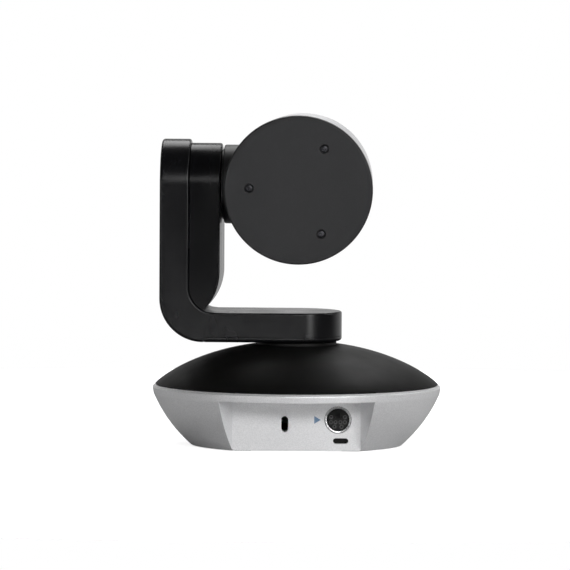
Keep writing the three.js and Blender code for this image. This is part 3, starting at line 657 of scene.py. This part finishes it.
def build_socket():
    """An 8-pin mini-DIN socket. In its own frame z is depth into the recess and y runs down."""
    facing = facing_ports(SOCKET[0], -PORT_Y, SOCKET[1])
    ring = rounded([(5.15, 0.0), (5.15, 3.4), (5.85, 3.4), (5.85, -0.15)], [0.15, 0, 0, 0.15])
    shield = mesh_object("socket_shield", *turned(ring, 96), facing)
    piece(shield, "base", "steel", STEEL, "power_socket_shield")

    def block(inset):
        left, right, top, bottom = -7 + inset, 7 - inset, -6.8 + inset, 6.3 - inset
        return rounded([(left, top), (right, top), (right, bottom), (left, bottom)], [0.6] * 4)

    body = mesh_object("socket_body", *stack(block, edge_layers(2.5, 12, 0.3, 0.3)), facing)
    plug = rounded([(0, 0.3), (4.95, 0.3), (4.95, 5.0), (0, 5.0)], [0, 0.25, 0, 0])
    boolean(body, mesh_object("cutter", *turned(plug, 96), facing), "UNION")
    pins = [(x * side, y) for x, y in PIN_PAIRS for side in (-1, 1)]
    rims = None
    for x, y in pins:
        place = facing @ Matrix.Translation((x, y, 0))
        boolean(body, rod(0.52, -1, 4, place, 20))
        tube = turned([(0.54, 0.05), (0.95, 0.05), (0.95, 0.55), (0.54, 0.55)], 24)
        rim = mesh_object("socket_pin_rims", *tube, place)
        if rims is None:
            rims = rim
        else:
            boolean(rims, rim, "UNION")
    piece(rims, "base", "grey_plastic", PIN_RIM)
    key = rounded([(-1.15, -3.3), (1.15, -3.3), (1.15, -1.1), (-1.15, -1.1)], [0.2] * 4)
    boolean(body, prism(key, -1, 4, facing))
    piece(body, "base", "black_plastic", SOCKET_BLACK, "power_socket_body")


def build_arrow():
    """The small printed triangle beside the socket."""
    outline = [(-1.4, -1.75), (1.5, 0), (-1.4, 1.75)]
    place = facing_ports(ARROW_X, -PORT_Y, SOCKET[1])
    piece(prism(outline, -0.04, 0.1, place, "socket_arrow"), "base", "silver_paint", MARK)


# ---------------------------------------------------------------- arm
def cap(start, length, count, flip):
    """Quads across a loop that is its own mirror image, length points to a side."""
    faces = []
    for i in range(length - 1):
        mirror_i = (2 * (length - 1) - i) % count
        mirror_j = (2 * (length - 1) - i - 1) % count
        quad = [start + v for v in (i, i + 1, mirror_j, mirror_i)]
        quad = [v for n, v in enumerate(quad) if v not in quad[:n]]
        if len(quad) > 2:
            faces.append(tuple(reversed(quad)) if flip else tuple(quad))
    return faces


def bar(stations, half, round_foot, edges, rounds=5, end_steps=28):
    """A bar bent in the XZ plane. Each station is (outer point, inner point), and edges gives
    the rounding at the outer and the inner face of a station. The top ends in a half circle
    about the tilt axis. The foot ends in a half circle about Z, or flat."""
    quarter = [math.pi / 2 * i / rounds for i in range(rounds + 1)]
    ends = [math.pi / 2 * i / end_steps for i in range(end_steps + 1)]
    thickness = [max(1e-3, math.dist(outer, inner)) for outer, inner in stations]
    last = len(stations) - 1

    def spot(k, depth):
        outer, inner = stations[k]
        return outer[0] + (inner[0] - outer[0]) * depth, outer[1] + (inner[1] - outer[1]) * depth

    def loop(depth_of, inset_of):
        side = []
        if round_foot:
            reach = half - inset_of(0)
            foot_z = spot(0, depth_of(0))[1]
            side += [(reach * math.cos(a), reach * math.sin(a), foot_z) for a in ends[:-1]]
        for k in range(len(stations)):
            x, z = spot(k, depth_of(k))
            side.append((x, half - inset_of(k), z))
        reach = half - inset_of(last)
        end_x = spot(last, depth_of(last))[0]
        side += [(end_x, reach * math.cos(a), TILT_Z + reach * math.sin(a)) for a in ends[1:]]
        back = [(x, -y, z) for x, y, z in reversed(side[:-1])]
        # A round foot starts on the mirror plane, so that point isn't repeated.
        return side + (back[:-1] if round_foot else back), len(side)

    loops = []
    for a in quarter:
        loops.append(loop(
            lambda k: edges(k)[0] * (1 - math.cos(a)) / thickness[k],
            lambda k: edges(k)[0] * (1 - math.sin(a)),
        ))
    for a in quarter:
        loops.append(loop(
            lambda k: 1 - edges(k)[1] * (1 - math.sin(a)) / thickness[k],
            lambda k: edges(k)[1] * (1 - math.cos(a)),
        ))
    rings = [points for points, _ in loops]
    length = loops[0][1]
    count = len(rings[0])
    points, faces = loft(rings, False, False)
    faces += cap(0, length, count, False)
    faces += cap((len(rings) - 1) * count, length, count, True)
    return points, faces


def lerp_points(start, end, steps):
    return [tuple(Vector(start).lerp(Vector(end), i / steps)) for i in range(steps + 1)]


def arch(half, floor):
    """An arch about the tilt axis as (y, z), with straight legs down to floor."""
    return arc(0, TILT_Z, half, 0, 180, 32) + [(-half, floor), (half, floor)]


def across_arm(outline, near, far):
    """A cutter from a (y, z) outline, run along the arm's X from near to far."""
    rows = [[(x, y, z) for y, z in outline] for x in (near, far)]
    return mesh_object("cutter", *loft(rows), ARM)


def band_stations():
    """Outer and inner points along the band, and how many of them lie over the floor cover."""
    out_x, out_z = ARM_OUT + OUT_BEND, ARM_FLOOR + OUT_BEND
    in_x, in_z = ARM_IN + IN_BEND, ARM_TOP + IN_BEND
    seam_x = out_x + GAP
    steps, lead = 26, 4
    outer = arc(out_x, out_z, OUT_BEND, 270, 180, steps)
    inner = arc(in_x, in_z, IN_BEND, 270, 180, steps)
    flat = [((x, ARM_SEAM), (x, ARM_TOP)) for x in (0, -9, -18, -27)]
    flat.append(((in_x, ARM_SEAM), inner[0]))
    flat.append(((seam_x + 0.02, ARM_SEAM), inner[lead]))
    bend = [((seam_x, ARM_FLOOR), inner[lead])]
    # The inner bend starts nearer the pan axis, so the outer face catches up along the bend.
    for i, point in enumerate(outer):
        share = lead + (steps - lead) * i / steps
        whole = int(share)
        after = inner[min(whole + 1, steps)]
        bend.append((point, tuple(Vector(inner[whole]).lerp(Vector(after), share - whole))))
    rise = [((ARM_OUT, z), (ARM_IN, z)) for z in (out_z + 8, 84, 96, 108, TILT_Z)]
    return flat + bend + rise, len(flat)


def build_arm_band():
    stations, seam_end = band_stations()

    def edges(k):
        return (0.12, 0.9) if k < seam_end else (1.4, 0.9)

    band = mesh_object("arm_band", *bar(stations, ARM_HALF, True, edges), ARM)
    inside = ARM_HALF - WALL
    bend_top = ARM_TOP + IN_BEND
    boolean(band, across_arm(arch(inside, ARM_FLOOR + 12), ARM_OUT + WALL, ARM_IN - 2))
    boolean(band, across_arm(arch(inside - 1, bend_top + 2), ARM_IN - 3, ARM_IN + 3))
    back = ARM_OUT + OUT_BEND + GAP + 1
    plan = arc(0, 0, inside, -90, 90, 32) + [(back, inside), (back, -inside)]
    boolean(band, prism(plan, ARM_SEAM - 2, ARM_TOP - WALL, ARM))
    merge_flats(band)
    piece(band, "arm", "black_plastic", BLACK, "arm_outer_band")


def build_arm_cover():
    end_x = ARM_OUT + OUT_BEND + GAP + HAIRLINE

    def plan(inset):
        half = ARM_HALF - inset
        back = end_x + min(inset, 0.3)
        return arc(0, 0, half, -90, 90, 48) + [(back, half), (back, -half)]

    layers = edge_layers(ARM_FLOOR, ARM_SEAM - HAIRLINE, 1.5, 0.12, 5)
    cover = mesh_object("arm_cover", *stack(plan, layers), ARM)
    below, above = ARM_FLOOR - 8, ARM_SEAM + 10
    boolean(cover, rod(HUB_R, below, above, ARM))
    for x in ARM_SCREW_X:
        boolean(cover, rod(2.4, below, above, ARM @ Matrix.Translation((x, 0, 0)), 32))
    piece(cover, "arm", "black_plastic", BLACK, "arm_bottom_cover")


def circle_meeting(c1, r1, c2, r2):
    """The lower of the two points where two circles meet."""
    between_centres = Vector(c2) - Vector(c1)
    distance = between_centres.length
    along = (r1**2 - r2**2 + distance**2) / (2 * distance)
    across = math.sqrt(r1**2 - along**2)
    way = between_centres.normalized()
    side = Vector((-way.y, way.x))
    options = [Vector(c1) + way * along + side * across * s for s in (1, -1)]
    return min(options, key=lambda point: point.y)


def housing_stations():
    """Outer and inner points of the housing, from the tip in the band's bend to the tilt axis."""
    flank = (HOUSE_IN - HOUSE_BEND, HOUSE_BEND_Z)
    corner = (ARM_IN + IN_BEND, ARM_TOP + IN_BEND)
    corner_r = IN_BEND - SEAM
    wall_x = corner[0] - corner_r
    tip = circle_meeting(flank, HOUSE_BEND, corner, corner_r)
    flank_start = math.degrees(math.atan2(tip.y - flank[1], tip.x - flank[0]))
    corner_start = math.degrees(math.atan2(tip.y - corner[1], tip.x - corner[0])) % 360
    bend_steps, straight_steps = 18, 6
    inner = arc(*flank, HOUSE_BEND, flank_start, 0, bend_steps + straight_steps)
    outer = arc(*corner, corner_r, corner_start, 180, bend_steps)
    outer += lerp_points((wall_x, corner[1]), (wall_x, HOUSE_BEND_Z), straight_steps)[1:]
    stations = list(zip(outer, inner))[1:]
    return stations + [((wall_x, z), (HOUSE_IN, z)) for z in (88, 98, 108, TILT_Z)]


def build_tilt_housing():
    stations = housing_stations()

    def edges(k):
        thick = math.dist(*stations[k])
        return min(0.3, thick * 0.2), min(0.8, thick * 0.3)

    housing = mesh_object("tilt_housing", *bar(stations, HOUSE_HALF, False, edges), ARM)
    opening = arch(HOUSE_HALF - WALL, HOUSE_BEND_Z)
    boolean(housing, across_arm(opening, ARM_IN - 3, HOUSE_IN - WALL))
    along_tilt = ARM @ Matrix.Translation((0, 0, TILT_Z)) @ Matrix.Rotation(math.pi / 2, 4, "Y")
    boolean(housing, rod(HUB_R, HOUSE_IN - 6, HOUSE_IN + 4, along_tilt))
    merge_flats(housing)
    piece(housing, "arm", "black_plastic", HOUSING_BLACK, "tilt_housing_cover")


def build_collar():
    low, high = 43, ARM_FLOOR - GAP
    outline = [(HUB_R, low), (COLLAR_R, low), (COLLAR_R, high), (HUB_R, high)]
    ring = mesh_object("pan_collar_ring", *turned(rounded(outline, [0, 0.2, 0.5, 0]), 128), ARM)
    piece(ring, "arm", "soft_black", SOFT, "pan_collar")


# ---------------------------------------------------------------- head
def build_boss():
    """The boss is saddled round the drum, so its far loops follow the drum's surface."""
    sides = 128
    drum_r = BARREL_REAR_R + GAP
    round_end = BOSS_X + BOSS_ROUND

    def saddle(z):
        return HEAD_X - math.sqrt(drum_r**2 - z**2)

    def ring(radius, x_of):
        points = []
        for i in range(sides):
            a = 2 * math.pi * i / sides
            y, z = radius * math.cos(a), radius * math.sin(a)
            points.append((x_of(z), y, z))
        return points

    def flat_ring(radius, x):
        return ring(radius, lambda z: x)

    tip = BOSS_X - 0.7
    loops = [flat_ring(SHAFT_R, tip), flat_ring(BOSS_SPIGOT_R - 0.3, tip)]
    loops += [flat_ring(BOSS_SPIGOT_R, tip + 0.2), flat_ring(BOSS_SPIGOT_R, BOSS_X)]
    for i in range(5):
        a = math.pi / 2 * i / 4
        radius = BOSS_R - BOSS_ROUND * (1 - math.sin(a))
        loops.append(flat_ring(radius, BOSS_X + BOSS_ROUND * (1 - math.cos(a))))
    for share in (0.35, 0.7, 0.97):
        loops.append(ring(BOSS_R, lambda z, s=share: round_end + (saddle(z) - round_end) * s))
    loops += [ring(radius, saddle) for radius in (BOSS_R - 0.15, 12, SHAFT_R)]
    boss = mesh_object("head_boss", *loft(loops, ring=True), HEAD)
    piece(boss, "head", "soft_black", BOSS_BLACK, "pivot_boss")


def build_barrel():
    rear = DISC_FRONT + GAP
    inside_r = BARREL_FRONT_R - BARREL_WALL
    # Two wide bends between the straight rear and the narrower front, then the front edge
    profile = rounded([
        (BARREL_REAR_R - BARREL_WALL, rear), (BARREL_REAR_R, rear),
        (BARREL_REAR_R, DISC_FRONT + 8), (BARREL_FRONT_R + 0.5, 4),
        (BARREL_FRONT_R, BARREL_FRONT), (inside_r, BARREL_FRONT), (inside_r, 4),
    ], [0, 0.35, 30, 40, 0.4, 0, 0], 8)
    barrel = mesh_object("head_drum", *turned(profile, 200), DRUM)
    boolean(barrel, rod(SHAFT_R, -45, -15, BOSS, 48))
    piece(barrel, "head", "silver_paint", SILVER, "head_barrel")


def screw_places():
    """The (x, y) of each rear screw in the drum's frame, where y runs down."""
    for angle in SCREW_ANGLES:
        a = math.radians(angle - SCREW_TURN)
        yield SCREW_RING * math.cos(a), -SCREW_RING * math.sin(a)


def build_rear_cover():
    edge = arc(DISC_R - DISC_ROUND, DISC_REAR + DISC_ROUND, DISC_ROUND, -90, 0, 4)
    spigot_in, spigot_out = DISC_SPIGOT
    plate_front = DISC_FRONT - 1.6
    profile = [(0, DISC_REAR)] + edge + [
        (DISC_R, DISC_FRONT - 0.2), (DISC_R - 0.2, DISC_FRONT), (spigot_out, DISC_FRONT),
        (spigot_out, DISC_FRONT + 3), (spigot_in, DISC_FRONT + 3), (spigot_in, plate_front),
        (0, plate_front),
    ]
    cover = mesh_object("rear_disc", *turned(profile, 200), DRUM)
    merge_flats(cover)
    # The well of a screw: a softened mouth, a seat and a clear hole
    mouth_r, well_r, hole_r = 2.2, 1.95, 1.2
    seat = DISC_REAR + 1.6
    well = [(0, DISC_REAR - 1), (mouth_r, DISC_REAR - 1), (mouth_r, DISC_REAR),
            (well_r, DISC_REAR + 0.25), (well_r, seat), (hole_r, seat), (hole_r, 0), (0, 0)]
    for x, y in screw_places():
        place = DRUM @ Matrix.Translation((x, y, 0))
        boolean(cover, mesh_object("cutter", *turned(well, 48), place))
    piece(cover, "head", "disc_black", DISC, "head_rear_cover")


def build_rear_screws():
    """Cross-head screws, sunk in their wells."""
    sunk = 0.62
    crown = arc(0, 4.0, 4.0, -90, -68, 6)[1:]
    profile = [(0, 0)] + crown + [(1.6, 0.45), (1.6, 0.75), (0.8, 0.95), (0.8, 7), (0, 7)]
    blade = [(-0.95, -0.17), (0.95, -0.17), (0.95, 0.17), (-0.95, 0.17)]
    tip = [(-0.5, -0.14), (0.5, -0.14), (0.5, 0.14), (-0.5, 0.14)]
    cross = [[(x, y, -0.5) for x, y in blade], [(x, y, 0.6) for x, y in tip]]
    for number, (x, y) in enumerate(screw_places(), start=1):
        turn = Matrix.Rotation(0.5 * number, 4, "Z")
        place = DRUM @ Matrix.Translation((x, y, DISC_REAR + sunk)) @ turn
        screw = mesh_object(f"rear_screw_{number}", *turned(profile, 48), place)
        for angle in (0, math.pi / 2):
            cutter = mesh_object("cutter", *loft(cross), place @ Matrix.Rotation(angle, 4, "Z"))
            boolean(screw, cutter)
        piece(screw, "head", "dark_steel", DARK_STEEL, f"rear_cover_screw_{number}")


def turned_on_drum(name, outline, radii, sides, steps):
    """A ring turned about the lens axis from a rounded outline of (radius, distance)."""
    return mesh_object(name, *turned(rounded(outline, radii, steps), sides), DRUM)


def build_front():
    """The unseen front, kept plain: bezel, smoked window, lens cell and front lens."""
    back = BARREL_FRONT + GAP
    bore, web_front, web_back = 13, BEZEL_FRONT - 1.6, 12.5
    bezel = turned_on_drum("front_ring", [
        (bore, web_back), (28.8, web_back), (28.8, back), (31.2, back), (31.2, BEZEL_FRONT),
        (25.9, BEZEL_FRONT), (25.4, web_front), (bore, web_front),
    ], [0.2, 0.2, 0, 0.2, 1.3, 0.4, 0, 0.2], 200, 5)
    piece(bezel, "head", "black_plastic", BLACK, "front_bezel")
    pane_back, pane_front = BEZEL_FRONT - 1.3, BEZEL_FRONT - 0.3
    pane = turned_on_drum("front_pane", [
        (11.2, pane_back), (25, pane_back), (25, pane_front), (11.2, pane_front),
    ], [0, 0.15, 0.3, 0.3], 160, 4)
    piece(pane, "head", "dark_window", WINDOW, "front_glass")
    cell = turned_on_drum("lens_cell", [
        (9.6, 7.8), (11.5, 7.8), (11.5, 16.6), (10.4, 16.6), (10.4, 11.8), (9.6, 10.6),
    ], [0, 0.2, 0.3, 0.2, 0, 0], 120, 4)
    piece(cell, "head", "black_plastic", BLACK, "front_lens_cell")
    dome_r = 20.6
    dome_top = 16.0
    dome = arc(0, dome_top - dome_r, dome_r, 61, 90, 16)
    profile = [(0, 11.2), (9.9, 12.2), (10.1, 13.4)] + dome[:-1] + [(0, dome_top)]
    lens = mesh_object("front_element", *turned(profile, 120), DRUM)
    piece(lens, "head", "lens_glass", LENS, "front_lens")


# ---------------------------------------------------------------- stage, light and camera
def camera_only(tree, seen, other, output):
    """The camera sees one shader and the light bouncing about sees the other."""
    path = tree.nodes.new("ShaderNodeLightPath")
    mix = tree.nodes.new("ShaderNodeMixShader")
    tree.links.new(path.outputs["Is Camera Ray"], mix.inputs["Fac"])
    tree.links.new(other, mix.inputs[1])
    tree.links.new(seen, mix.inputs[2])
    tree.links.new(mix.outputs[0], output)


def build_stage():
    """A pale round floor, bright to the camera and duller to everything it lights."""
    floor_r = 480.0
    rim = arc(0, 0, floor_r, 0, 360 - 360 / 96, 95)
    floor = mesh_object("floor", [(x, y, 0) for x, y in rim], [tuple(range(len(rim)))])
    material, tree, shader = new_material("floor")
    output = tree.nodes["Material Output"]
    cloud = object_noise(tree, 300.0, 2.0)
    tree.links.new(tones(tree, cloud, (0.88, 0.88, 0.88), (0.90, 0.90, 0.90)), shader.inputs["Base Color"])
    shader.inputs["Roughness"].default_value = 0.9
    shader.inputs["Specular IOR Level"].default_value = 0.0
    shader.inputs["Emission Color"].default_value = (1, 1, 1, 1)
    shader.inputs["Emission Strength"].default_value = 0.80
    dull = tree.nodes.new("ShaderNodeBsdfDiffuse")
    tree.links.new(tones(tree, cloud, (0.50, 0.50, 0.50), (0.52, 0.52, 0.52)), dull.inputs["Color"])
    camera_only(tree, shader.outputs[0], dull.outputs[0], output.inputs["Surface"])
    floor.data.materials.append(material)


def area_light(name, place, target, width, height, power):
    data = bpy.data.lights.new(name, "AREA")
    data.shape = "RECTANGLE"
    data.size, data.size_y, data.energy = width, height, power
    light = bpy.data.objects.new(name, data)
    light.location = place
    light.rotation_euler = (Vector(target) - Vector(place)).to_track_quat("-Z", "Y").to_euler()
    bpy.context.scene.collection.objects.link(light)
    return light


def smooth_ramp(tree, source, start, end, low, high):
    """A smooth step from low to high as source runs from start to end."""
    node = tree.nodes.new("ShaderNodeMapRange")
    node.interpolation_type = "SMOOTHSTEP"
    for name, value in (("From Min", start), ("From Max", end), ("To Min", low), ("To Max", high)):
        node.inputs[name].default_value = value
    tree.links.new(source, node.inputs["Value"])
    return node.outputs["Result"]


def build_lights():
    """The camera sees a white room. The pieces are lit by a dim one with a bright backdrop low
    down at the far side, and by the area lights."""
    world = bpy.data.worlds.new("studio")
    bpy.context.scene.world = world
    world.use_nodes = True
    tree = world.node_tree
    tree.nodes.clear()
    output = tree.nodes.new("ShaderNodeOutputWorld")
    seen = tree.nodes.new("ShaderNodeBackground")
    seen.inputs["Color"].default_value = (1, 1, 1, 1)
    seen.inputs["Strength"].default_value = 1.0
    room = tree.nodes.new("ShaderNodeBackground")
    direction = tree.nodes.new("ShaderNodeTexCoord")
    split = tree.nodes.new("ShaderNodeSeparateXYZ")
    tree.links.new(direction.outputs["Generated"], split.inputs["Vector"])
    backdrop = smooth_ramp(tree, split.outputs["Y"], 0.05, 0.65, 0.0, 0.82)
    low_down = smooth_ramp(tree, split.outputs["Z"], 0.12, 0.50, 1.0, 0.12)
    glow = tree.nodes.new("ShaderNodeMath")
    glow.operation = "MULTIPLY_ADD"
    tree.links.new(backdrop, glow.inputs[0])
    tree.links.new(low_down, glow.inputs[1])
    glow.inputs[2].default_value = 0.06
    tree.links.new(glow.outputs[0], room.inputs["Strength"])
    camera_only(tree, seen.outputs[0], room.outputs[0], output.inputs["Surface"])
    centre = (0, 0, 0.08)
    area_light("key_right", (0.70, -1.02, 0.45), centre, 0.24, 1.0, 8.5)
    area_light("key_left", (-1.05, -1.15, 0.20), centre, 0.45, 0.5, 2.4)
    area_light("front_soft", (0.15, -1.4, 0.52), centre, 0.6, 0.3, 6.0)
    area_light("rim_right", (1.25, 0.2, 0.62), centre, 0.5, 0.6, 2.5)
    area_light("top_back", (0.0, 0.75, 1.0), centre, 0.9, 0.62, 6.6)
    patch = area_light("floor_front", (-0.10, -0.42, 0.35), (-0.10, -0.43, 0), 0.4, 0.15, 3.2)
    patch.data.spread = math.radians(60)


def build_camera():
    """A long lens a few degrees above the horizon, as in the reference view."""
    distance = 4.0
    elevation = math.radians(3.6)
    aim = Vector((-0.0055, 0, 0.07275))
    frame_width = 0.259
    roll = math.radians(0.3)
    data = bpy.data.cameras.new("camera")
    data.sensor_width = 36
    data.lens = data.sensor_width * distance / frame_width
    camera = bpy.data.objects.new("camera", data)
    back = Vector((0, -math.cos(elevation), math.sin(elevation)))
    camera.location = aim + back * distance
    facing = (-back).to_track_quat("-Z", "Y") @ Quaternion((0, 0, 1), roll)
    camera.rotation_euler = facing.to_euler()
    bpy.context.scene.collection.objects.link(camera)
    bpy.context.scene.camera = camera


# ---------------------------------------------------------------- everything in order
build_camera()
build_stage()
build_lights()
dress_cad_nodes()
build_bowl()
build_dome()
build_socket()
build_arrow()
build_arm_band()
build_arm_cover()
build_tilt_housing()
build_collar()
build_boss()
build_barrel()
build_rear_cover()
build_rear_screws()
build_front()
bpy.context.scene.view_settings.view_transform = "Standard"

bpy.context.view_layer.update()
